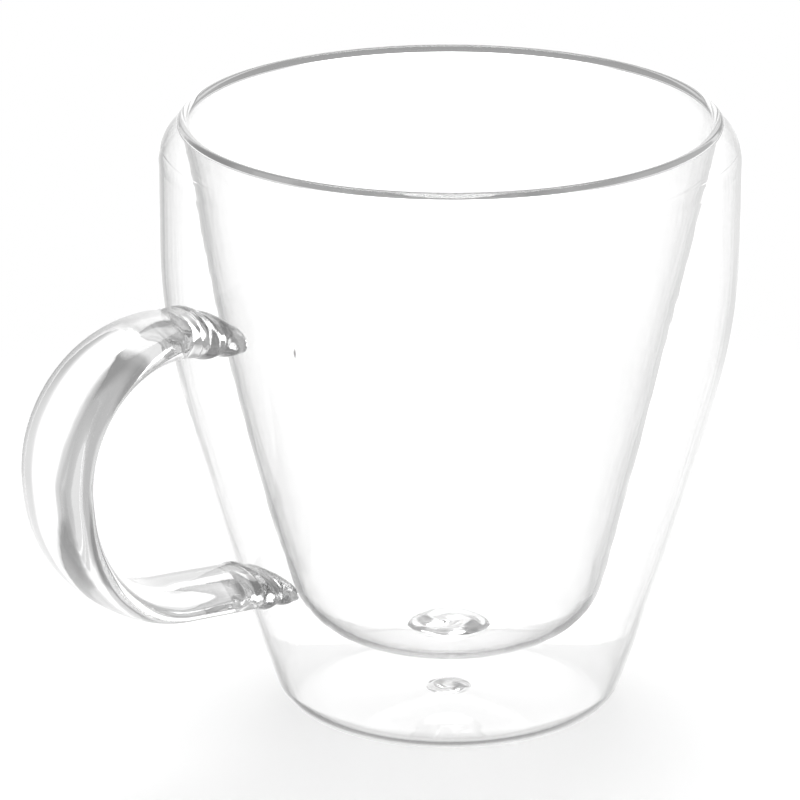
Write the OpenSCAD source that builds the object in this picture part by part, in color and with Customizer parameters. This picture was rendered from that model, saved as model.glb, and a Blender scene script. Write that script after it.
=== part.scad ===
// Double-walled glass cup with a strap handle, in millimetres.
// The cup stands on z = 0 with its axis on Z, and the handle points along -X.

/* [Body] */
// Height from the table to the crest of the lip
cup_h = 95.6; // [88:0.1:106]
// Widest outside diameter, along the upright band
body_d = 90; // [84:0.5:98]
// Step of the lip's crest in from the widest wall
lip_in = 3.85; // [3:0.05:5]
// Thickness of the outer wall
shell_wall = 0.9; // [0.7:0.05:1.5]
// Height of the upright band below the shoulder
band_h = 13.1; // [6:0.1:18]
// Radius of the turn below the upright band
bend_r = 88; // [50:1:130]
// Radius of the slightly bellied taper
belly_r = 600; // [350:10:2000]
// Radius of the shoulder that carries the wall in to the lip
shoulder_r = 8; // [7:0.2:10]

/* [Base] */
// Outside diameter of the flat foot ring
foot_d = 42.8; // [38:0.2:48]
// Width of the flat foot ring
foot_ring_w = 3; // [2:0.2:6]
// Radius of the rounded heel
heel_r = 6.4; // [4:0.2:9]
// Rise of the base from the foot ring to the vent hole
base_rise = 1.1; // [0.8:0.1:2]
// Diameter of the vent hole in the base
vent_d = 7; // [4:0.5:10]
// Height of the sealing drop above the base
seal_bead = 1.3; // [0.5:0.1:2]
// Depth of the sealing drop below the base
seal_nub = 0.7; // [0.2:0.1:0.8]

/* [Lip] */
// Thickness of the rounded lip
lip_t = 1.7; // [1.4:0.05:2]
// Thickness of each wall where it runs into the lip
rim_wall = 0.9; // [0.7:0.05:1.1]
// Radius of the melted web that closes the gap under the lip
web_r = 0.35; // [0.25:0.05:0.5]
// Length of the fused ring on the liner below the web
rim_skirt = 5; // [3:0.1:8]
// Angle of the fused ring round the shoulder below the web
rim_arc = 30; // [20:0.5:38]

/* [Liner] */
// Thickness of the liner wall
liner_wall = 0.9; // [0.7:0.05:1.5]
// Radius of the slightly bellied liner wall
liner_r = 700; // [400:10:2000]
// Height of the liner floor above the table
floor_z = 11.9; // [9:0.1:18]
// Diameter of the liner floor, where its corner begins
floor_d = 30.75; // [26:0.25:34]
// Inside radius of the liner corner
corner_r = 11; // [7:0.2:14]
// Inside radius of the dished liner floor
dish_r = 80; // [60:1:150]
// Diameter of the drop of glass that closes the liner
gather_d = 13; // [9:0.5:16]
// Height of that drop above the floor
gather_h = 1.9; // [1:0.1:3]

/* [Handle] */
// Depth below the lip at which the top arm meets the wall
top_below = 25.6; // [18:0.1:32]
// Length of the straight top arm between its weld and the knuckle
top_arm_l = 1.76; // [0.5:0.1:6]
// Rise of the top arm away from the wall, in degrees
top_tilt = 7.2; // [0:0.2:14]
// Radius of the top knuckle
top_r = 19.1; // [15:0.1:22]
// Turn of the top knuckle, in degrees
top_turn = 100.9; // [80:0.1:120]
// Radius of the grip between the knuckles
grip_r = 42; // [25:1:80]
// Turn of the grip, in degrees
grip_turn = 5.3; // [1:0.1:20]
// Radius of the bottom knuckle
low_r = 21.6; // [17:0.1:24]
// Fall of the bottom arm towards the wall, in degrees
low_tilt = 4.2; // [0:0.2:8]
// Width of the strap at the top weld
top_w = 13.2; // [10:0.2:16]
// Width of the strap at the grip
grip_w = 16.4; // [12:0.2:20]
// Width of the strap at the bottom weld
low_w = 13.4; // [10:0.2:16]
// Thickness of the strap at the top weld
top_t = 6.9; // [5:0.1:8]
// Thickness of the strap at the grip
grip_t = 5.5; // [4.5:0.1:8]
// Thickness of the strap at the bottom weld
low_t = 5.9; // [4.5:0.1:8]

/* [Welds] */
// Length of each handle weld along its arm
weld_l = 6.5; // [4:0.5:8]
// Width of the top weld at the wall
top_weld_w = 13.2; // [9:0.2:16]
// Width of the bottom weld at the wall
low_weld_w = 11.4; // [9:0.2:16]
// Thickness that a weld keeps at the wall, as a share of the arm's
weld_neck = 0.76; // [0.6:0.02:1]
// Drop of a weld's middle from the arm to the wall
weld_drop = 0.6; // [0:0.1:2]
// Height of the folds in a weld
weld_fold = 0.35; // [0:0.05:0.6]

/* [Hidden] */

glass = [0.86, 0.92, 0.92, 0.45];
weld_glass = [0.78, 0.86, 0.87, 0.6];
turn_fn = 120;
chord_gap = 0.01;
strap_sides = 28;
strap_power = 2.3;
arm_rings = 3;
knuckle_rings = 18;
grip_rings = 3;
weld_rings = 12;
weld_folds = 2;
weld_sink = 3;
drop_steps = 14;

function dir(a) = [cos(a), sin(a)];
function angle_of(v) = atan2(v[1], v[0]);
// Points along an arc, close enough that no chord leaves it by more than the chord gap
function arc(c, r, a0, a1) =
    let (n = ceil(abs(a1 - a0) / (2 * acos(1 - chord_gap / r))))
    [for (i = [0 : n]) c + r * dir(a0 + (a1 - a0) * i / n)];
function reversed(points) = [for (i = [len(points) - 1 : -1 : 0]) points[i]];
// Runs of points joined end to end, with the point where two of them meet taken once
function chain(runs) =
    [for (i = [0 : len(runs) - 1], j = [min(i, 1) : len(runs[i]) - 1]) runs[i][j]];
// One of the two points where circles about p and q with radii a and b cross
function crossing(p, a, q, b, side) =
    let (d = norm(q - p), u = (q - p) / d, x = (a * a - b * b + d * d) / (2 * d), h = sqrt(a * a - x * x))
    p + x * u + side * h * [-u[1], u[0]];

// Outer wall: the lip's circle lies inside the shoulder's and touches it, and below them come the upright
// band, its turn, the bellied taper and the heel, each tangent to the next
body_r = body_d / 2;
foot_r = foot_d / 2;
vent_r = vent_d / 2;
lip_r = lip_t / 2;
lip_c = [body_r - lip_in, cup_h - lip_r];
shoulder_x = body_r - shoulder_r;
shoulder_c = [shoulder_x,
              lip_c[1] - sqrt(pow(shoulder_r - lip_r, 2) - pow(lip_c[0] - shoulder_x, 2))];
lip_angle = angle_of(lip_c - shoulder_c);
band_z = shoulder_c[1] - band_h;
bend_c = [body_r - bend_r, band_z];
heel_c = [foot_r, heel_r];
belly_c = crossing(bend_c, belly_r - bend_r, heel_c, belly_r - heel_r, -1);
bend_end = angle_of(bend_c - belly_c);
belly_end = angle_of(heel_c - belly_c);
// The face of the wall at a depth below its outside, from the shoulder down to the foot ring
function shell_face(depth) = concat(
    arc(shoulder_c, shoulder_r - depth, rim_turn, 0),
    chain([arc(bend_c, bend_r - depth, 0, bend_end),
           arc(belly_c, belly_r - depth, bend_end, belly_end),
           arc(heel_c, heel_r - depth, belly_end, -90)]));
function wall_r(z) =
    z >= band_z ? body_r :
    z >= bend_c[1] + bend_r * sin(bend_end) ? bend_c[0] + sqrt(pow(bend_r, 2) - pow(z - bend_c[1], 2)) :
    belly_c[0] + sqrt(pow(belly_r, 2) - pow(z - belly_c[1], 2));

// Liner: a dished floor with a gather in the middle, a round corner, and a slightly bellied wall that is
// tangent to the corner and to the lip
dish_c = [0, floor_z + dish_r];
dish_end = -acos(floor_d / 2 / dish_r);
corner_c = dish_c + (dish_r - corner_r) * dir(dish_end);
liner_c = crossing(lip_c, liner_r + lip_r, corner_c, liner_r - corner_r, -1);
liner_end = angle_of(corner_c - liner_c);
gather_r = gather_d / 2;

// Melted web between the walls, which can run thinner or thicker towards it
web_c = crossing(liner_c, liner_r + rim_wall + web_r, shoulder_c, shoulder_r - rim_wall - web_r, 1);
rim_turn = angle_of(web_c - shoulder_c) - rim_arc;
skirt_end = angle_of(web_c - liner_c) - rim_skirt / liner_r * 180 / PI;
// Each side of the web is an arc that leaves its wall's gap face at the seam and touches the web
shell_seam = shoulder_c + (shoulder_r - shell_wall) * dir(rim_turn);
liner_seam = liner_c + (liner_r + liner_wall) * dir(skirt_end);
shell_thin_r = let (w = web_c - shell_seam)
    (w * w - web_r * web_r) / (-2 * (w * dir(rim_turn) + web_r));
liner_thin_r = let (w = web_c - liner_seam)
    (w * w - web_r * web_r) / (2 * (web_r - w * dir(skirt_end)));
shell_thin_c = shell_seam - shell_thin_r * dir(rim_turn);
liner_thin_c = liner_seam - liner_thin_r * dir(skirt_end);

// The face of the liner at a depth behind its inside, from the fused ring down to the gather
function liner_face(depth) = chain([
    arc(liner_c, liner_r + depth, skirt_end, liner_end),
    arc(corner_c, corner_r + depth, liner_end, dish_end),
    arc(dish_c, dish_r + depth, dish_end, -acos(gather_r / (dish_r + depth)))]);

// Handle spine: top arm, top knuckle, grip, bottom knuckle and bottom arm, each tangent to the next
top_z = cup_h - top_below;
top_arm = [-cos(top_tilt), -sin(top_tilt)];
low_arm = [-cos(low_tilt), -sin(low_tilt)];
top_seam = [wall_r(top_z), top_z] - weld_l * top_arm;
top_start = top_seam - top_arm_l * top_arm;
top_c = top_start - top_r * dir(90 + top_tilt);
grip_from = 90 + top_tilt - top_turn;
grip_to = grip_from - grip_turn;
grip_c = top_c + (top_r - grip_r) * dir(grip_from);
low_c = grip_c + (grip_r - low_r) * dir(grip_to);
low_start = low_c + low_r * dir(low_tilt - 90);
// Where an arm meets the wall, found by stepping along it
function arm_wall(p, u, tries = 6) =
    tries == 0 ? p : arm_wall(p + u * ((p[0] - wall_r(p[1])) / -u[0]), u, tries - 1);
low_seam = arm_wall(low_start, low_arm) - weld_l * low_arm;
// Each spine station is [point, heading]
function arc_stations(c, r, a0, a1, n) =
    [for (i = [1 : n]) let (a = a0 + (a1 - a0) * i / n) [c + r * dir(a), [sin(a), -cos(a)]]];
function line_stations(p, q, n) =
    [for (i = [0 : n]) [p + (q - p) * i / n, (q - p) / norm(q - p)]];
spine = concat(
    line_stations(top_seam, top_start, arm_rings),
    arc_stations(top_c, top_r, 90 + top_tilt, grip_from, knuckle_rings),
    arc_stations(grip_c, grip_r, grip_from, grip_to, grip_rings),
    arc_stations(low_c, low_r, grip_to, low_tilt - 90, knuckle_rings),
    [for (i = [1 : arm_rings]) [low_start + (low_seam - low_start) * i / arm_rings, low_arm]]);

// A smooth value along the strap that is a at the start, b halfway and c at the end
function along(f, a, b, c) = a * (1 - f) * (1 - 2 * f) + 4 * b * f * (1 - f) + c * f * (2 * f - 1);
function rounded(v) = sign(v) * pow(abs(v), 2 / strap_power);
// One closed ring of the strap, square to its heading
function strap_ring(p, u, w, t) = [for (i = [0 : strap_sides - 1])
    let (a = 360 * i / strap_sides, q = p + rounded(cos(a)) * t / 2 * [-u[1], u[0]])
    [-q[0], rounded(sin(a)) * w / 2, q[1]]];
function ease(f) = f >= 1 ? 1 : (1 - cos(180 * f)) / 2;

// A solid through a list of rings with the same count of points
module loft(rings) {
    n = len(rings[0]);
    m = len(rings);
    sides = [for (i = [0 : m - 2], j = [0 : n - 1]) let (k = (j + 1) % n)
        each [[i * n + j, i * n + k, (i + 1) * n + j], [i * n + k, (i + 1) * n + k, (i + 1) * n + j]]];
    first = [for (j = [1 : n - 2]) [0, j + 1, j]];
    last = [for (j = [1 : n - 2]) [(m - 1) * n, (m - 1) * n + j, (m - 1) * n + j + 1]];
    polyhedron([for (r = rings) each r], concat(sides, first, last));
}

module revolve(outline) {
    rotate_extrude($fn = turn_fn) polygon(outline);
}

module outer_shell() {
    ring_r = foot_r - foot_ring_w;
    color(glass) revolve(concat(
        shell_face(0),
        [[ring_r, 0], [vent_r, base_rise], [vent_r, base_rise + shell_wall], [ring_r, shell_wall]],
        reversed(shell_face(shell_wall))));
}

module inner_cup() {
    color(glass) revolve(concat(liner_face(0), reversed(liner_face(liner_wall))));
}

module rim_weld() {
    liner_top = angle_of(lip_c - liner_c);
    color(weld_glass) revolve(concat(
        chain([arc(shoulder_c, shoulder_r, rim_turn, lip_angle),
               arc(lip_c, lip_r, lip_angle, liner_top + 180),
               arc(liner_c, liner_r, liner_top, skirt_end)]),
        chain([arc(liner_thin_c, liner_thin_r, skirt_end, angle_of(web_c - liner_thin_c)),
               arc(web_c, web_r, angle_of(web_c - liner_thin_c) + 180, angle_of(web_c - shell_thin_c)),
               arc(shell_thin_c, shell_thin_r, angle_of(web_c - shell_thin_c), rim_turn)])));
}

module handle() {
    last = len(spine) - 1;
    color(glass) loft([for (i = [0 : last])
        strap_ring(spine[i][0], spine[i][1],
                   along(i / last, top_w, grip_w, low_w), along(i / last, top_t, grip_t, low_t))]);
}

// The room inside the outer face of the wall
module wall_room() {
    face = shell_face(0);
    revolve(concat([[0, face[0][1]]], face, [[0, 0]]));
}

// A folded collar that narrows and sinks from an arm's end to the wall
module handle_weld(seam, u, w, t, foot_w) {
    length = weld_l + weld_sink;
    color(weld_glass) difference() {
        loft([for (i = [0 : weld_rings])
            let (d = length * i / weld_rings, f = d / weld_l, e = ease(f),
                 fold = f >= 1 ? 0 : weld_fold * pow(sin(180 * weld_folds * f), 2))
            strap_ring(seam + d * u - [0, weld_drop * e], u,
                       w + (foot_w - w) * e + 2 * fold, t - t * (1 - weld_neck) * e + 2 * fold)]);
        wall_room();
    }
}

module upper_handle_weld() {
    handle_weld(top_seam, top_arm, top_w, top_t, top_weld_w);
}

module lower_handle_weld() {
    handle_weld(low_seam, low_arm, low_w, low_t, low_weld_w);
}

// A smooth drop that is h high on the axis and fades out at radius r
function drop(x, r, h) = h * (1 + cos(180 * x / r)) / 2;

module base_seal() {
    steps = [for (i = [0 : drop_steps]) vent_r * i / drop_steps];
    color(weld_glass) revolve(concat(
        [for (x = steps) [x, base_rise - drop(x, vent_r, seal_nub)]],
        [for (x = reversed(steps)) [x, base_rise + shell_wall + drop(x, vent_r, seal_bead)]]));
}

module liner_gather() {
    steps = [for (i = [0 : drop_steps]) gather_r * i / drop_steps];
    color(weld_glass) revolve(concat(
        arc(dish_c, dish_r + liner_wall, -90, -acos(gather_r / (dish_r + liner_wall))),
        [for (x = reversed(steps)) [x, dish_c[1] - sqrt(pow(dish_r, 2) - x * x)
                                       + drop(x, gather_r, gather_h)]]));
}

outer_shell();
inner_cup();
rim_weld();
handle();
upper_handle_weld();
lower_handle_weld();
base_seal();
liner_gather();
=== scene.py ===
import math

import bmesh
import bpy
from mathutils import Matrix, Vector


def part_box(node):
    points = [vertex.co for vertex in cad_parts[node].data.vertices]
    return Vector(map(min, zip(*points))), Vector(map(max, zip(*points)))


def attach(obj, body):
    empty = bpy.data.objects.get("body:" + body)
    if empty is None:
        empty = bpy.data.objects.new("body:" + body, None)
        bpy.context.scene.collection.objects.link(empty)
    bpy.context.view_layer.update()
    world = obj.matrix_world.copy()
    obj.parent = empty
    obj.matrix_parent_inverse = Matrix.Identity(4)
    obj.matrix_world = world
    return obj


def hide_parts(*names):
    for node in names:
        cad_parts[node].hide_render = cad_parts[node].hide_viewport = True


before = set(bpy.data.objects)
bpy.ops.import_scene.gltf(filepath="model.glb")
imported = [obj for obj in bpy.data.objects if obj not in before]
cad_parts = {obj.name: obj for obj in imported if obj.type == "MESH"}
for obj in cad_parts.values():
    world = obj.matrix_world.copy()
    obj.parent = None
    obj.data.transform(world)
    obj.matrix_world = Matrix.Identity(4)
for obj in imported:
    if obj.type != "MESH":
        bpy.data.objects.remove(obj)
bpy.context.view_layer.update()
scene = bpy.context.scene
mm = 0.001
print("frame loaded:", len(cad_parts), "nodes")


# small helpers for 2d work in the cup's profile plane, where a point is (radius, height)
def heading(degrees):
    return Vector((math.cos(math.radians(degrees)), math.sin(math.radians(degrees))))


def angleOf(v):
    return math.degrees(math.atan2(v.y, v.x))


# the point where circles about p and q cross, on the right hand of the way from p to q
def circleCrossing(p, rp, q, rq):
    way = q - p
    d = way.length
    run = (rp * rp - rq * rq + d * d) / (2 * d)
    rise = math.sqrt(rp * rp - run * run)
    u = way / d
    return p + run * u - rise * Vector((-u.y, u.x))


# the cup's walls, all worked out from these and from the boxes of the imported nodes
walls = {
    "shellWall": 0.9 * mm,
    "linerWall": 0.9 * mm,
    "rimWall": 0.9 * mm,        # each wall where it runs into the lip
    "lipStep": 3.85 * mm,       # lip crest in from the widest wall
    "lipThick": 1.7 * mm,
    "shoulderRadius": 8 * mm,
    "bandHeight": 13.1 * mm,    # upright band under the shoulder
    "bendRadius": 88 * mm,
    "bellyRadius": 600 * mm,
    "heelRadius": 6.4 * mm,
    "footRadius": 21.4 * mm,
    "footRing": 3 * mm,
    "baseRise": 1.1 * mm,
    "linerRadius": 700 * mm,
    "floorHeight": 11.9 * mm,
    "floorRadius": 15.375 * mm,  # dished floor, out to the corner
    "cornerRadius": 11 * mm,
    "dishRadius": 80 * mm,
    "webRadius": 0.35 * mm,
    "rimSkirt": 5 * mm,         # fused ring on the liner, below the web
    "rimArc": 30,               # fused ring on the shoulder, below the web
    "bow": 0.75 * mm,           # the liner was blown by hand and stands a little aside halfway up
    "bowToward": 142,
}

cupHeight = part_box("rim_weld")[1].z
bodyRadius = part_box("outer_shell")[1].x
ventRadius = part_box("base_seal")[1].x
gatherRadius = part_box("liner_gather")[1].x

# lip and outer wall
lipRadius = walls["lipThick"] / 2
lipCentre = Vector((bodyRadius - walls["lipStep"], cupHeight - lipRadius))
shoulderX = bodyRadius - walls["shoulderRadius"]
shoulderReach = walls["shoulderRadius"] - lipRadius
shoulderDrop = math.sqrt(shoulderReach ** 2 - (lipCentre.x - shoulderX) ** 2)
shoulderCentre = Vector((shoulderX, lipCentre.y - shoulderDrop))
lipAngle = angleOf(lipCentre - shoulderCentre)
bendCentre = Vector((bodyRadius - walls["bendRadius"], shoulderCentre.y - walls["bandHeight"]))
heelCentre = Vector((walls["footRadius"], walls["heelRadius"]))
bellyCentre = circleCrossing(bendCentre, walls["bellyRadius"] - walls["bendRadius"],
                             heelCentre, walls["bellyRadius"] - walls["heelRadius"])
bendEnd = angleOf(bendCentre - bellyCentre)
bellyEnd = angleOf(heelCentre - bellyCentre)

# liner, and the edge of the gather in its floor
inDish = walls["dishRadius"]
outDish = inDish + walls["linerWall"]
dishCentre = Vector((0, walls["floorHeight"] + inDish))
dishEnd = -math.degrees(math.acos(walls["floorRadius"] / inDish))
cornerCentre = dishCentre + (inDish - walls["cornerRadius"]) * heading(dishEnd)
linerCentre = circleCrossing(lipCentre, walls["linerRadius"] + lipRadius,
                             cornerCentre, walls["linerRadius"] - walls["cornerRadius"])
linerTop = angleOf(lipCentre - linerCentre)
linerEnd = angleOf(cornerCentre - linerCentre)
inEnd = -math.degrees(math.acos(gatherRadius / inDish))
outEnd = -math.degrees(math.acos(gatherRadius / outDish))
gatherSeam = (dishCentre + inDish * heading(inEnd), dishCentre + outDish * heading(outEnd))

# rim, between its seams on the shoulder and on the liner
webGap = walls["rimWall"] + walls["webRadius"]
webCentre = circleCrossing(shoulderCentre, walls["shoulderRadius"] - webGap,
                           linerCentre, walls["linerRadius"] + webGap)
rimTurn = angleOf(webCentre - shoulderCentre) - walls["rimArc"]
skirtEnd = angleOf(webCentre - linerCentre) - math.degrees(walls["rimSkirt"] / walls["linerRadius"])
shellSeam = (shoulderCentre + walls["shoulderRadius"] * heading(rimTurn),
             shoulderCentre + (walls["shoulderRadius"] - walls["shellWall"]) * heading(rimTurn))
linerSeam = (linerCentre + walls["linerRadius"] * heading(skirtEnd),
             linerCentre + (walls["linerRadius"] + walls["linerWall"]) * heading(skirtEnd))
ventSeam = (Vector((ventRadius, walls["baseRise"])),
            Vector((ventRadius, walls["baseRise"] + walls["shellWall"])))


# outside radius of the wall at a height
def wallRadius(z):
    if z >= bendCentre.y:
        return bodyRadius
    if z >= bendCentre.y + walls["bendRadius"] * math.sin(math.radians(bendEnd)):
        return bendCentre.x + math.sqrt(walls["bendRadius"] ** 2 - (z - bendCentre.y) ** 2)
    return bellyCentre.x + math.sqrt(walls["bellyRadius"] ** 2 - (z - bellyCentre.y) ** 2)


# how finely the glass is drawn
fineness = {
    "turns": 224,               # faces round the cup
    "arcStep": 4.0,             # degrees of an arc per profile edge
    "arcEdges": 3,              # the fewest in an arc
    "lineStep": 2.5 * mm,
    "merge": 1e-7,              # points nearer than this are one
    "seamSlack": 0.02 * mm,     # beside a seam's line
    "seamSpare": 0.02,          # past its ends, as a share of it
    "sharpAngle": 48,           # faces that meet at more degrees than this keep a sharp edge
}


# a profile is drawn like a pen stroke in the XZ plane: arcs spin the last vertex and lines extrude it
class Stroke:
    def __init__(self, start):
        self.bm = bmesh.new()
        self.first = self.bm.verts.new((start.x, 0, start.y))
        self.last = self.first

    def arc(self, centre, turn):
        steps = max(fineness["arcEdges"], math.ceil(abs(turn) / fineness["arcStep"]))
        radius = (Vector((self.last.co.x, self.last.co.z)) - centre).length
        steps = max(steps, math.ceil(radius * abs(math.radians(turn)) / fineness["lineStep"]))
        made = bmesh.ops.spin(self.bm, geom=[self.last], cent=(centre.x, 0, centre.y), axis=(0, -1, 0),
                              angle=math.radians(turn), steps=steps)
        self.last = [g for g in made["geom_last"] if isinstance(g, bmesh.types.BMVert)][0]

    def line(self, target, edges=None):
        way = Vector((target.x, 0, target.y)) - self.last.co
        count = edges or max(1, math.ceil(way.length / fineness["lineStep"]))
        for i in range(count):
            self.last = bmesh.ops.extrude_vert_indiv(self.bm, verts=[self.last])["verts"][0]
            bmesh.ops.translate(self.bm, verts=[self.last], vec=way / count)

    def close(self):
        self.bm.edges.new((self.last, self.first))

    def turnRound(self):
        geom = self.bm.verts[:] + self.bm.edges[:]
        bmesh.ops.spin(self.bm, geom=geom, cent=(0, 0, 0), axis=(0, 0, 1), angle=2 * math.pi,
                       steps=fineness["turns"], use_merge=True)
        bmesh.ops.remove_doubles(self.bm, verts=self.bm.verts[:], dist=fineness["merge"])
        bmesh.ops.dissolve_degenerate(self.bm, edges=self.bm.edges[:], dist=fineness["merge"])
        bmesh.ops.recalc_face_normals(self.bm, faces=self.bm.faces[:])
        return self.bm


# faces along the line from a to b in the profile plane join two pieces of glass
def markSeam(bm, a, b):
    way = b - a
    spare = fineness["seamSpare"]
    for face in bm.faces:
        centre = face.calc_center_median()
        p = Vector((math.hypot(centre.x, centre.y), centre.z)) - a
        t = p.dot(way) / way.dot(way)
        if -spare < t < 1 + spare and (p - t * way).length < fineness["seamSlack"]:
            face.material_index = 1


# each piece has its glass first and the fused seam second
def addPiece(bm, name, glass):
    mesh = bpy.data.meshes.new(name)
    for face in bm.faces:
        face.smooth = True
    bm.to_mesh(mesh)
    bm.free()
    mesh.set_sharp_from_angle(angle=math.radians(fineness["sharpAngle"]))
    piece = bpy.data.objects.new(name, mesh)
    scene.collection.objects.link(piece)
    mesh.materials.append(glass)
    mesh.materials.append(fusedSeam)
    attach(piece, "root")
    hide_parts(name)
    piece.name = name + ".glass"
    print("made", piece.name, len(mesh.polygons), "faces")


# a little maker of value nodes: each call adds a node and gives its output
class Wiring:
    def __init__(self, tree):
        self.nodes = tree.nodes
        self.link = tree.links.new

    def feed(self, socket, value):
        if isinstance(value, (int, float)):
            socket.default_value = value
        else:
            self.link(value, socket)

    def calc(self, operation, *values):
        node = self.nodes.new("ShaderNodeMath")
        node.operation = operation
        for socket, value in zip(node.inputs, values):
            self.feed(socket, value)
        return node.outputs["Value"]

    # value brought from low..high to a..b, evenly or softly
    def ramp(self, value, low, high, a, b, soft=True):
        node = self.nodes.new("ShaderNodeMapRange")
        node.interpolation_type = "SMOOTHSTEP" if soft else "LINEAR"
        for name, v in zip(("Value", "From Min", "From Max", "To Min", "To Max"), (value, low, high, a, b)):
            self.feed(node.inputs[name], v)
        return node.outputs["Result"]

    # a where the mask is 0, b where it is 1
    def blend(self, mask, a, b):
        return self.ramp(mask, 0.0, 1.0, a, b, False)

    # 1 between the middle two of four values, 0 outside the other two
    def band(self, value, edges):
        low = self.ramp(value, edges[0], edges[1], 0.0, 1.0)
        high = self.ramp(value, edges[2], edges[3], 1.0, 0.0)
        return self.calc("MULTIPLY", low, high)

    def dot(self, vector, way):
        node = self.nodes.new("ShaderNodeVectorMath")
        node.operation = "DOT_PRODUCT"
        self.link(vector, node.inputs[0])
        node.inputs[1].default_value = way
        return node.outputs["Value"]

    def distance(self, vector, point):
        node = self.nodes.new("ShaderNodeVectorMath")
        node.operation = "DISTANCE"
        self.link(vector, node.inputs[0])
        node.inputs[1].default_value = point
        return node.outputs["Value"]

    def scaled(self, vector, scale):
        node = self.nodes.new("ShaderNodeMapping")
        node.inputs["Scale"].default_value = scale
        self.link(vector, node.inputs["Vector"])
        return node.outputs["Vector"]

    def noise(self, vector, scale, detail):
        node = self.nodes.new("ShaderNodeTexNoise")
        node.inputs["Detail"].default_value = detail
        self.link(vector, node.inputs["Vector"])
        self.feed(node.inputs["Scale"], scale)
        return node.outputs["Fac"]


# what all the glass shares
blown = {
    "ior": 1.47,
    "waveDetail": 1.0,
    "cordScale": 260.0,
    "cordDetail": 2.0,
    "cordStretch": (1.0, 1.0, 0.12),    # cords are drawn out along the wall
    "clearest": 0.985,
    "fleck": (200.5, 44.9 * mm, 69.6 * mm),     # degrees round, distance out and height
    "fleckHalf": 0.3 * mm,
    "fleckSquash": 0.3,                 # its width as a share of its length
    "fleckCore": 0.6,                   # share of its half width that is darkest
    "fleckTone": 0.15,
}
# and what differs: scale and height of the waves, height of the cords, darkest tone and depth of the bump. A
# darkest tone below 1 is painted shade: it darkens the fused glass a little and the welds much, standing in
# for the darker look of thick glass
finishes = {
    "wallGlass": {"waves": (45.0, 0.4), "cords": 0.06, "tone": 1.0, "depth": 0.3 * mm},
    "handleGlass": {"waves": (70.0, 0.5), "cords": 0.1, "tone": 1.0, "depth": 0.4 * mm},
    # fused glass and welds: their darkest tone is painted shade
    "fusedGlass": {"waves": (160.0, 0.6), "cords": 0.2, "tone": 0.88, "depth": 0.4 * mm},
    "weldGlass": {"waves": (160.0, 0.6), "cords": 0.2, "tone": 0.1, "depth": 0.4 * mm},
}


# waves, cords, the fleck and the painted shade of the fused glass and the welds as one node group
def makeGlassGroup():
    group = bpy.data.node_groups.new("blownGlass", "ShaderNodeTree")
    for name in ("Wave Scale", "Wave Height", "Cord Height", "Painted Shade Tone"):
        group.interface.new_socket(name=name, in_out="INPUT", socket_type="NodeSocketFloat")
    group.interface.new_socket(name="Height", in_out="OUTPUT", socket_type="NodeSocketFloat")
    group.interface.new_socket(name="Colour", in_out="OUTPUT", socket_type="NodeSocketColor")
    nodes = group.nodes
    wires = Wiring(group)
    inner = nodes.new("NodeGroupInput").outputs
    outer = nodes.new("NodeGroupOutput").inputs
    place = nodes.new("ShaderNodeTexCoord").outputs["Object"]
    # slow waves left by blowing, and long cords
    wave = wires.noise(place, inner["Wave Scale"], blown["waveDetail"])
    drawn = wires.scaled(place, blown["cordStretch"])
    cord = wires.noise(drawn, blown["cordScale"], blown["cordDetail"])
    waveHeight = wires.calc("MULTIPLY", wave, inner["Wave Height"])
    height = wires.calc("MULTIPLY_ADD", cord, inner["Cord Height"], waveHeight)
    wires.link(height, outer["Height"])
    # the waves also vary the glass's colour between its darkest tone and the clearest, and on the fused
    # glass and the welds that darkest tone is painted shade. The fleck is a spot in the outer wall
    tone = wires.blend(wave, inner["Painted Shade Tone"], blown["clearest"])
    turn, out, up = blown["fleck"]
    half = blown["fleckHalf"]
    squash = blown["fleckSquash"]
    squashed = wires.scaled(place, (1.0, 1.0, squash))
    reach = wires.distance(squashed, (*(heading(turn) * out), up * squash))
    spot = wires.ramp(reach, half * blown["fleckCore"], half, blown["fleckTone"], 1.0, False)
    spotted = wires.calc("MULTIPLY", tone, spot)
    shade = nodes.new("ShaderNodeCombineColor")
    for channel in ("Red", "Green", "Blue"):
        wires.link(spotted, shade.inputs[channel])
    wires.link(shade.outputs["Color"], outer["Colour"])
    return group


glassGroup = makeGlassGroup()


def makeGlass(name):
    finish = finishes[name]
    material = bpy.data.materials.new(name)
    material.use_nodes = True
    nodes = material.node_tree.nodes
    link = material.node_tree.links.new
    shader = nodes["Principled BSDF"]
    shader.inputs["Transmission Weight"].default_value = 1.0
    shader.inputs["Roughness"].default_value = 0.0      # fire-polished
    shader.inputs["IOR"].default_value = blown["ior"]
    surface = nodes.new("ShaderNodeGroup")
    surface.node_tree = glassGroup
    surface.inputs["Wave Scale"].default_value = finish["waves"][0]
    surface.inputs["Wave Height"].default_value = finish["waves"][1]
    surface.inputs["Cord Height"].default_value = finish["cords"]
    # a darkest tone below 1 is painted shade
    surface.inputs["Painted Shade Tone"].default_value = finish["tone"]
    bump = nodes.new("ShaderNodeBump")
    bump.inputs["Distance"].default_value = finish["depth"]
    link(surface.outputs["Height"], bump.inputs["Height"])
    link(bump.outputs["Normal"], shader.inputs["Normal"])
    link(surface.outputs["Colour"], shader.inputs["Base Color"])
    return material


# where two pieces are fused there is no surface to see
def makeFusedSeam():
    material = bpy.data.materials.new("fusedSeam")
    material.use_nodes = True
    shader = material.node_tree.nodes["Principled BSDF"]
    shader.inputs["Alpha"].default_value = 0.0
    shader.inputs["Specular IOR Level"].default_value = 0.0
    return material


wallGlass = makeGlass("wallGlass")
handleGlass = makeGlass("handleGlass")
fusedGlass = makeGlass("fusedGlass")
weldGlass = makeGlass("weldGlass")
fusedSeam = makeFusedSeam()
print("glass materials ready")


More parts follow.
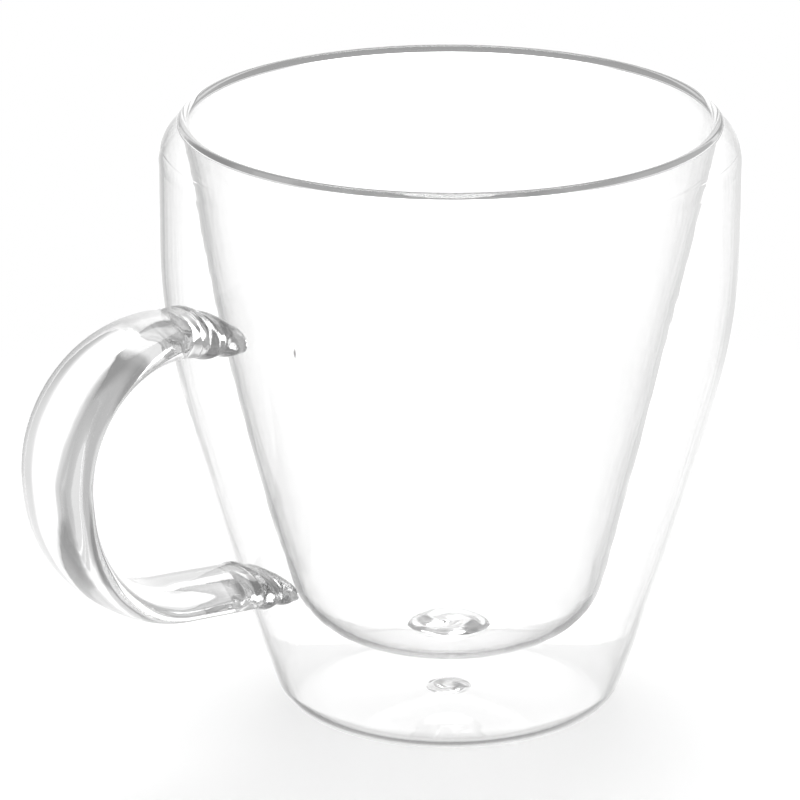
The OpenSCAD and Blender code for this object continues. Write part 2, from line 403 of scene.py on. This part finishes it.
# outer shell: shoulder, band, bend, belly, heel, foot ring and raised base, then back up the inside
def makeOuterShell():
    wall = walls["shellWall"]
    ring = walls["footRadius"] - walls["footRing"]
    pen = Stroke(shellSeam[0])
    pen.arc(shoulderCentre, -rimTurn)
    pen.line(bendCentre + walls["bendRadius"] * heading(0))
    pen.arc(bendCentre, bendEnd)
    pen.arc(bellyCentre, bellyEnd - bendEnd)
    pen.arc(heelCentre, -90 - bellyEnd)
    pen.line(Vector((ring, 0)))
    pen.line(ventSeam[0])
    pen.line(ventSeam[1], 1)
    pen.line(Vector((ring, wall)))
    pen.line(Vector((walls["footRadius"], wall)))
    pen.arc(heelCentre, bellyEnd + 90)
    pen.arc(bellyCentre, bendEnd - bellyEnd)
    pen.arc(bendCentre, -bendEnd)
    pen.line(shoulderCentre + (walls["shoulderRadius"] - wall) * heading(0))
    pen.arc(shoulderCentre, rimTurn)
    pen.close()
    bm = pen.turnRound()
    markSeam(bm, *shellSeam)
    markSeam(bm, *ventSeam)
    addPiece(bm, "outer_shell", wallGlass)


# inner cup: slightly bellied taper, round corner and dished floor as far as the gather
def makeInnerCup():
    pen = Stroke(linerSeam[0])
    pen.arc(linerCentre, linerEnd - skirtEnd)
    pen.arc(cornerCentre, dishEnd - linerEnd)
    pen.arc(dishCentre, inEnd - dishEnd)
    pen.line(gatherSeam[1], 1)
    pen.arc(dishCentre, dishEnd - outEnd)
    pen.arc(cornerCentre, linerEnd - dishEnd)
    pen.arc(linerCentre, skirtEnd - linerEnd)
    pen.close()
    bm = pen.turnRound()
    markSeam(bm, *linerSeam)
    markSeam(bm, *gatherSeam)
    low = gatherSeam[0].y
    high = linerSeam[1].y
    aside = heading(walls["bowToward"]).to_3d() * walls["bow"]
    for v in bm.verts:
        f = min(1, max(0, (v.co.z - low) / (high - low)))
        v.co += aside * math.sin(math.pi * f)
    addPiece(bm, "inner_cup", wallGlass)


# the arc that leaves a wall's gap face at its seam and touches the web: its centre, along u from the seam
def thinningCentre(seam, u, side):
    w = webCentre - seam
    r = walls["webRadius"]
    return seam - u * ((w.dot(w) - r * r) / (2 * (side * r - w.dot(u))))


# rim weld: over the shoulder and the lip, down the liner, and back round the melted web
def makeRimWeld():
    linerThin = thinningCentre(linerSeam[1], heading(skirtEnd), 1)
    shellThin = thinningCentre(shellSeam[1], heading(rimTurn), -1)
    webFrom = angleOf(webCentre - linerThin)
    webTo = angleOf(webCentre - shellThin)
    pen = Stroke(shellSeam[0])
    pen.arc(shoulderCentre, lipAngle - rimTurn)
    pen.arc(lipCentre, linerTop + 180 - lipAngle)
    pen.arc(linerCentre, skirtEnd - linerTop)
    pen.line(linerSeam[1], 1)
    pen.arc(linerThin, webFrom - skirtEnd)
    pen.arc(webCentre, webTo - webFrom - 180)
    pen.arc(shellThin, rimTurn - webTo)
    pen.close()
    bm = pen.turnRound()
    markSeam(bm, *shellSeam)
    markSeam(bm, *linerSeam)
    addPiece(bm, "rim_weld", wallGlass)


swirlPeak = 27 / 4      # brings the highest value of f * f * (1 - f) to 1


# two ridges that wind round one side of a drop, left where the soft glass was turned and drawn off
def addSwirl(bm, side, middle, edge, height, twist):
    for v in bm.verts:
        f = math.hypot(v.co.x, v.co.y) / edge
        if side * (v.co.z - middle) > 0 and f < 1:
            turn = 2 * math.atan2(v.co.y, v.co.x) + twist * f
            v.co.z += height * math.sin(turn) * swirlPeak * f * f * (1 - f)


# a drop that is h high on the axis and fades out at its edge
def dropHeight(r, edge, h):
    return h * (1 + math.cos(math.pi * min(1, r / edge))) / 2


# base seal: a plug in the vent hole, with a low bead above and a swirled nub below
def makeBaseSeal():
    drop = {"bead": 0.2 * mm, "nub": 0.6 * mm, "swirl": 0.22 * mm, "twist": 5.0, "rings": 24}
    low = ventSeam[0].y
    high = ventSeam[1].y
    pen = Stroke(Vector((0, low - drop["nub"])))
    for i in range(drop["rings"]):
        r = ventRadius * (i + 1) / drop["rings"]
        pen.line(Vector((r, low - dropHeight(r, ventRadius, drop["nub"]))), 1)
    pen.line(ventSeam[1], 1)
    for i in range(drop["rings"]):
        r = ventRadius * (1 - (i + 1) / drop["rings"])
        pen.line(Vector((r, high + dropHeight(r, ventRadius, drop["bead"]))), 1)
    bm = pen.turnRound()
    addSwirl(bm, -1, (low + high) / 2, ventRadius, drop["swirl"], drop["twist"])
    markSeam(bm, *ventSeam)
    addPiece(bm, "base_seal", fusedGlass)


# liner gather: the floor's middle, raised to a button with a nearly level, swirled top and a steep edge
def makeLinerGather():
    drop = {
        "height": 1.5 * mm,
        "levelPower": 2.6,
        "edgePower": 0.6,
        "swirl": 0.3 * mm,
        "swirlReach": 0.9,      # of the gather's radius
        "twist": 6.5,
        "rings": 40,
    }
    pen = Stroke(dishCentre + outDish * heading(-90))
    pen.arc(dishCentre, outEnd + 90)
    pen.line(gatherSeam[0], 1)
    for i in range(drop["rings"]):
        f = 1 - (i + 1) / drop["rings"]
        r = gatherRadius * f
        floor = dishCentre.y - math.sqrt(inDish ** 2 - r * r)
        pen.line(Vector((r, floor + drop["height"] * (1 - f ** drop["levelPower"]) ** drop["edgePower"])), 1)
    bm = pen.turnRound()
    middle = walls["floorHeight"] + drop["height"] / 2
    addSwirl(bm, 1, middle, gatherRadius * drop["swirlReach"], drop["swirl"], drop["twist"])
    markSeam(bm, *gatherSeam)
    addPiece(bm, "liner_gather", fusedGlass)


makeOuterShell()
makeInnerCup()
makeRimWeld()
makeBaseSeal()
makeLinerGather()

# the handle's spine lies in the XZ plane, and a point of it is (distance out from the axis, height)
strap = {
    "topBelow": 25.6 * mm,      # top arm's meeting with the wall, below the lip
    "topArm": 1.76 * mm,
    "topTilt": 7.2,
    "topRadius": 19.1 * mm,
    "topTurn": 100.9,
    "gripRadius": 42 * mm,
    "gripTurn": 5.3,
    "lowRadius": 21.6 * mm,
    "lowTilt": 4.2,
    "widths": (13.2 * mm, 16.4 * mm, 13.4 * mm),      # at the top weld, the grip and the low weld
    "thicknesses": (6.9 * mm, 5.44 * mm, 5.9 * mm),   # at the same places
    "power": 2.3,               # 2 is an ellipse, more is squarer
    "sides": 72,
    "topArmRings": 6,
    "lowArmRings": 12,
    "knuckleRings": 54,
    "gripRings": 9,
}
weld = {
    "length": 6.5 * mm,
    "topWidth": 13.2 * mm,      # at the wall
    "lowWidth": 11.4 * mm,
    "neck": 0.76,               # share of the arm's thickness left at the wall
    "drop": 0.6 * mm,
    "fold": 0.35 * mm,
    "folds": 2,
    "sink": 0.4 * mm,           # into the wall, where the glass runs together
    "rings": 44,
    "tries": 8,                 # steps towards the curved wall, each much nearer than the last
}

topHeight = cupHeight - strap["topBelow"]
topArm = -heading(strap["topTilt"])
lowArm = -heading(strap["lowTilt"])
topSeam = Vector((wallRadius(topHeight), topHeight)) - weld["length"] * topArm
topStart = topSeam - strap["topArm"] * topArm
topFrom = 90 + strap["topTilt"]
topCentre = topStart - strap["topRadius"] * heading(topFrom)
gripFrom = topFrom - strap["topTurn"]
gripTo = gripFrom - strap["gripTurn"]
gripCentre = topCentre + (strap["topRadius"] - strap["gripRadius"]) * heading(gripFrom)
lowCentre = gripCentre + (strap["gripRadius"] - strap["lowRadius"]) * heading(gripTo)
lowTo = strap["lowTilt"] - 90
lowStart = lowCentre + strap["lowRadius"] * heading(lowTo)


# step along an arm until it meets the wall
def wallAlong(p, u):
    for i in range(weld["tries"]):
        p = p + u * ((p.x - wallRadius(p.y)) / -u.x)
    return p


lowSeam = wallAlong(lowStart, lowArm) - weld["length"] * lowArm


# a smooth value along the strap through its start, middle and end values
def along(f, values):
    a, b, c = values
    return a * (1 - f) * (1 - 2 * f) + 4 * b * f * (1 - f) + c * f * (2 * f - 1)


# matrix that lays a unit ring square to the spine: its x is the thickness, its y the width
def ringPlace(p, u, width, thick):
    out = Vector((-u.y, u.x))
    return Matrix((
        (-out.x * thick / 2, 0, -u.x, -p.x),
        (0, width / 2, 0, 0),
        (out.y * thick / 2, 0, u.y, p.y),
        (0, 0, 0, 1),
    ))


# a rounded strap section: a circle pushed out towards its corners
def startRing(bm):
    ring = bmesh.ops.create_circle(bm, segments=strap["sides"], radius=1)["verts"]
    for v in ring:
        for axis in (0, 1):
            v.co[axis] = math.copysign(abs(v.co[axis]) ** (2 / strap["power"]), v.co[axis])
    return ring


def extrudeRing(bm, edges):
    made = bmesh.ops.extrude_edge_only(bm, edges=edges)["geom"]
    verts = [g for g in made if isinstance(g, bmesh.types.BMVert)]
    fresh = set(verts)
    edges = [g for g in made if isinstance(g, bmesh.types.BMEdge) and set(g.verts) <= fresh]
    return verts, edges


# handle: a ring carried along two straight arms and three arcs
def makeHandle():
    spine = []
    for i in range(strap["topArmRings"] + 1):
        spine.append((topSeam.lerp(topStart, i / strap["topArmRings"]), -topArm))
    arcs = (
        (topCentre, strap["topRadius"], topFrom, gripFrom, strap["knuckleRings"]),
        (gripCentre, strap["gripRadius"], gripFrom, gripTo, strap["gripRings"]),
        (lowCentre, strap["lowRadius"], gripTo, lowTo, strap["knuckleRings"]),
    )
    for centre, radius, start, stop, rings in arcs:
        for i in range(1, rings + 1):
            a = start + (stop - start) * i / rings
            spine.append((centre + radius * heading(a), heading(a - 90)))
    for i in range(1, strap["lowArmRings"] + 1):
        spine.append((lowStart.lerp(lowSeam, i / strap["lowArmRings"]), lowArm))
    bm = bmesh.new()
    verts = startRing(bm)
    edges = bm.edges[:]
    seams = []
    last = Matrix.Identity(4)
    for i, (p, u) in enumerate(spine):
        f = i / (len(spine) - 1)
        place = ringPlace(p, u, along(f, strap["widths"]), along(f, strap["thicknesses"]))
        if i > 0:
            verts, edges = extrudeRing(bm, edges)
        bmesh.ops.transform(bm, matrix=place @ last.inverted(), verts=verts)
        if i in (0, len(spine) - 1):
            seams.append(edges)
        last = place
    for edges in seams:
        for face in bmesh.ops.contextual_create(bm, geom=edges)["faces"]:
            face.material_index = 1
    bmesh.ops.recalc_face_normals(bm, faces=bm.faces[:])
    addPiece(bm, "handle", handleGlass)


# a weld: each side of the arm runs to the wall on its own line, narrowing, sagging and folding on the way
def makeHandleWeld(name, seam, u, width, thick, footWidth):
    bm = bmesh.new()
    verts = startRing(bm)
    unit = [(v.co.x, v.co.y) for v in verts]
    out = Vector((-u.y, u.x))
    reach = []
    for a, b in unit:
        q = seam + out * (a * thick / 2 * weld["neck"]) - Vector((0, weld["drop"]))
        y = b * footWidth / 2
        run = 0.0
        for i in range(weld["tries"]):
            x = math.sqrt(wallRadius(q.y + u.y * run) ** 2 - y * y)
            run = (q.x - x) / -u.x
        reach.append(run + weld["sink"])
    edges = bm.edges[:]
    ends = []
    for i in range(weld["rings"] + 1):
        f = i / weld["rings"]
        ease = (1 - math.cos(math.pi * f)) / 2
        fold = weld["fold"] * math.sin(math.pi * weld["folds"] * f) ** 2
        halfThick = thick / 2 * (1 - (1 - weld["neck"]) * ease) + fold
        halfWidth = (width + (footWidth - width) * ease) / 2 + fold
        if i > 0:
            verts, edges = extrudeRing(bm, edges)
        for v, (a, b), run in zip(verts, unit, reach):
            p = seam + u * (run * f) + out * (a * halfThick) - Vector((0, weld["drop"] * ease))
            v.co = (-p.x, b * halfWidth, p.y)
        if i in (0, weld["rings"]):
            ends.append(edges)
    for face in bmesh.ops.contextual_create(bm, geom=ends[0])["faces"]:
        face.material_index = 1
    bmesh.ops.contextual_create(bm, geom=ends[1])
    bmesh.ops.recalc_face_normals(bm, faces=bm.faces[:])
    addPiece(bm, name, weldGlass)


makeHandle()
makeHandleWeld("upper_handle_weld", topSeam, topArm, strap["widths"][0], strap["thicknesses"][0],
               weld["topWidth"])
makeHandleWeld("lower_handle_weld", lowSeam, lowArm, strap["widths"][2], strap["thicknesses"][2],
               weld["lowWidth"])

# camera at the photograph's viewing angle
view = {
    "azimuth": -38.0,
    "elevation": 18.8,
    "distance": 0.915,
    "lens": 263.5,
    "sensor": 36,
    "clip": (0.05, 50),
    "aimHeight": 49.4 * mm,
    "aimAside": -7.72 * mm,     # left of the axis
}


def makeCamera():
    az = math.radians(view["azimuth"])
    el = math.radians(view["elevation"])
    right = Vector((math.cos(az), math.sin(az), 0))
    back = Vector((math.sin(az) * math.cos(el), -math.cos(az) * math.cos(el), math.sin(el)))
    data = bpy.data.cameras.new("camera")
    data.lens = view["lens"]
    data.sensor_width = view["sensor"]
    data.clip_start, data.clip_end = view["clip"]
    camera = bpy.data.objects.new("camera", data)
    camera.location = right * view["aimAside"] + Vector((0, 0, view["aimHeight"])) + back * view["distance"]
    camera.rotation_mode = "QUATERNION"
    camera.rotation_quaternion = (-back).to_track_quat("-Z", "Y")
    scene.collection.objects.link(camera)
    scene.camera = camera


makeCamera()

# studio: a pale floor in a ring of white panels, so that the cup has a bright panel behind it from many
# sides. The gaps between the panels draw the edges of the walls, a grey panel at the left draws the band in
# the handle, and a soft box hangs overhead. Angles are degrees, up or to the right of straight ahead.
studio = {
    "floorRadius": 0.20,
    "floorSides": 96,
    "floorFade": (0.11, 0.194),      # distances out where the floor starts to fade and is gone
    "floorDrop": 0.1 * mm,
    "floorColour": (0.42, 0.42, 0.42),
    "fill": 0.71,
    "paintedShadeEdge": 22 * mm,            # behind the axis: nearer, painted shade darkens what glass shows through the floor
    "paintedShadeBlur": 1 * mm,
    "paintedShadeTone": 0.78,
    "panels": 8,
    "panelTone": 0.82,
    "gapTones": (0.69, 0.78),        # on the left and on the right
    "gapMiddle": (-1.0, 1.0),        # where one gives way to the other
    "gapFrom": (-0.7, 0.4),          # of the cosine that runs once through each panel
    "backdrop": 1.35,                # the panel straight ahead
    "backdropHalf": (14.0, 26.0),
    "greyPanel": (-66.0, -56.0, -24.0, -16.0),
    "greyTone": 0.5,
    "lowBand": (-54.0, -42.0, -34.0, -23.0),
    "lowShade": 0.65,
    "belowTone": 0.42,               # lower than the low band
    "highFrom": (16.0, 32.0),
    "highShade": 0.62,
    "softbox": 5.0,
    "softboxUp": 68.0,
    "softboxHalf": (16.0, 24.0),
}
ahead = heading(view["azimuth"] + 90)


def makeFloor():
    bm = bmesh.new()
    bmesh.ops.create_circle(bm, cap_ends=True, segments=studio["floorSides"], radius=studio["floorRadius"])
    bmesh.ops.translate(bm, verts=bm.verts[:], vec=(0, 0, -studio["floorDrop"]))
    mesh = bpy.data.meshes.new("floor")
    bm.to_mesh(mesh)
    bm.free()
    floor = bpy.data.objects.new("floor", mesh)
    scene.collection.objects.link(floor)
    material = bpy.data.materials.new("paleFloor")
    material.use_nodes = True
    mesh.materials.append(material)
    nodes = material.node_tree.nodes
    wires = Wiring(material.node_tree)
    link = wires.link
    nodes.remove(nodes["Principled BSDF"])
    path = nodes.new("ShaderNodeLightPath")
    place = nodes.new("ShaderNodeTexCoord").outputs["Object"]
    # the fill brings the floor to white, so that only the shadow is darker
    diffuse = nodes.new("ShaderNodeBsdfDiffuse")
    diffuse.inputs["Color"].default_value = (*studio["floorColour"], 1)
    glow = nodes.new("ShaderNodeEmission")
    glow.inputs["Strength"].default_value = studio["fill"]
    lit = nodes.new("ShaderNodeAddShader")
    link(diffuse.outputs["BSDF"], lit.inputs[0])
    link(glow.outputs["Emission"], lit.inputs[1])
    # glass shows the panels past the floor, darkened by painted shade up to a straight edge behind the axis,
    # which stands in for the cup's shadow on the table
    edge = studio["paintedShadeEdge"]
    blur = studio["paintedShadeBlur"]
    # painted shade: for glass the floor is darker up to the edge
    paintedShade = wires.ramp(wires.dot(place, ahead.to_3d()), edge - blur, edge + blur, studio["paintedShadeTone"], 1.0)
    dim = nodes.new("ShaderNodeBsdfTransparent")
    link(paintedShade, dim.inputs["Color"])
    through = nodes.new("ShaderNodeMixShader")
    link(path.outputs["Is Transmission Ray"], through.inputs["Fac"])
    link(lit.outputs["Shader"], through.inputs[1])
    link(dim.outputs["BSDF"], through.inputs[2])
    # no edge shows, because the floor fades into the white ground
    clear = nodes.new("ShaderNodeBsdfTransparent")
    far = wires.distance(place, (0, 0, 0))
    mix = nodes.new("ShaderNodeMixShader")
    link(wires.ramp(far, *studio["floorFade"], 0.0, 1.0), mix.inputs["Fac"])
    link(through.outputs["Shader"], mix.inputs[1])
    link(clear.outputs["BSDF"], mix.inputs[2])
    link(mix.outputs["Shader"], nodes["Material Output"].inputs["Surface"])


# heights on the unit sphere for angles up from level
def sines(angles):
    return [math.sin(math.radians(a)) for a in angles]


def makeWorld():
    world = bpy.data.worlds.new("studio")
    scene.world = world
    world.use_nodes = True
    nodes = world.node_tree.nodes
    wires = Wiring(world.node_tree)
    way = nodes.new("ShaderNodeTexCoord").outputs["Generated"]
    split = nodes.new("ShaderNodeSeparateXYZ")
    wires.link(way, split.inputs["Vector"])
    height = split.outputs["Z"]
    front = wires.dot(way, ahead.to_3d())
    side = wires.dot(way, (ahead.y, -ahead.x, 0))
    bearing = wires.calc("ARCTAN2", side, front)
    turn = wires.calc("DEGREES", bearing)
    # panels and gaps
    aside = wires.calc("ABSOLUTE", turn)
    panel = wires.ramp(aside, *studio["backdropHalf"], studio["backdrop"], studio["panelTone"])
    gap = wires.ramp(turn, *studio["gapMiddle"], *studio["gapTones"])
    wave = wires.calc("COSINE", wires.calc("MULTIPLY", bearing, studio["panels"]))
    tone = wires.ramp(wave, *studio["gapFrom"], gap, panel)
    tone = wires.blend(wires.band(turn, studio["greyPanel"]), tone, studio["greyTone"])
    # darker below and above
    lowBand = sines(studio["lowBand"])
    tone = wires.ramp(height, *lowBand[:2], studio["belowTone"], tone)
    lowShade = wires.blend(wires.band(height, lowBand), 1.0, studio["lowShade"])
    tone = wires.calc("MULTIPLY", tone, lowShade)
    highShade = wires.ramp(height, *sines(studio["highFrom"]), 1.0, studio["highShade"])
    tone = wires.calc("MULTIPLY", tone, highShade)
    # soft box
    up = heading(studio["softboxUp"])
    inner, outer = (math.cos(math.radians(a)) for a in studio["softboxHalf"])
    box = wires.dot(way, (ahead.x * up.x, ahead.y * up.x, up.y))
    tone = wires.ramp(box, outer, inner, tone, studio["softbox"])
    # plain white for the camera, the studio for glass and light
    path = nodes.new("ShaderNodeLightPath")
    ground = nodes["Background"]
    ground.inputs["Color"].default_value = (1, 1, 1, 1)
    wires.link(wires.blend(path.outputs["Is Camera Ray"], tone, 1.0), ground.inputs["Strength"])


makeFloor()
makeWorld()
scene.view_settings.view_transform = "Standard"

# light is followed a long way through the glass, but once it has been reflected this many times it counts
# as a share of the studio's light
tracing = {"bounces": 64, "reflections": 8, "reach": 0.01 * mm, "share": 0.85}
scene.cycles.max_bounces = tracing["bounces"]
scene.cycles.glossy_bounces = tracing["bounces"]
scene.cycles.transmission_bounces = tracing["bounces"]
scene.cycles.transparent_max_bounces = tracing["bounces"]
scene.cycles.use_fast_gi = True
scene.cycles.fast_gi_method = "REPLACE"
scene.cycles.ao_bounces_render = tracing["reflections"]
scene.world.light_settings.distance = tracing["reach"]
scene.world.light_settings.ao_factor = tracing["share"]
print("studio ready")
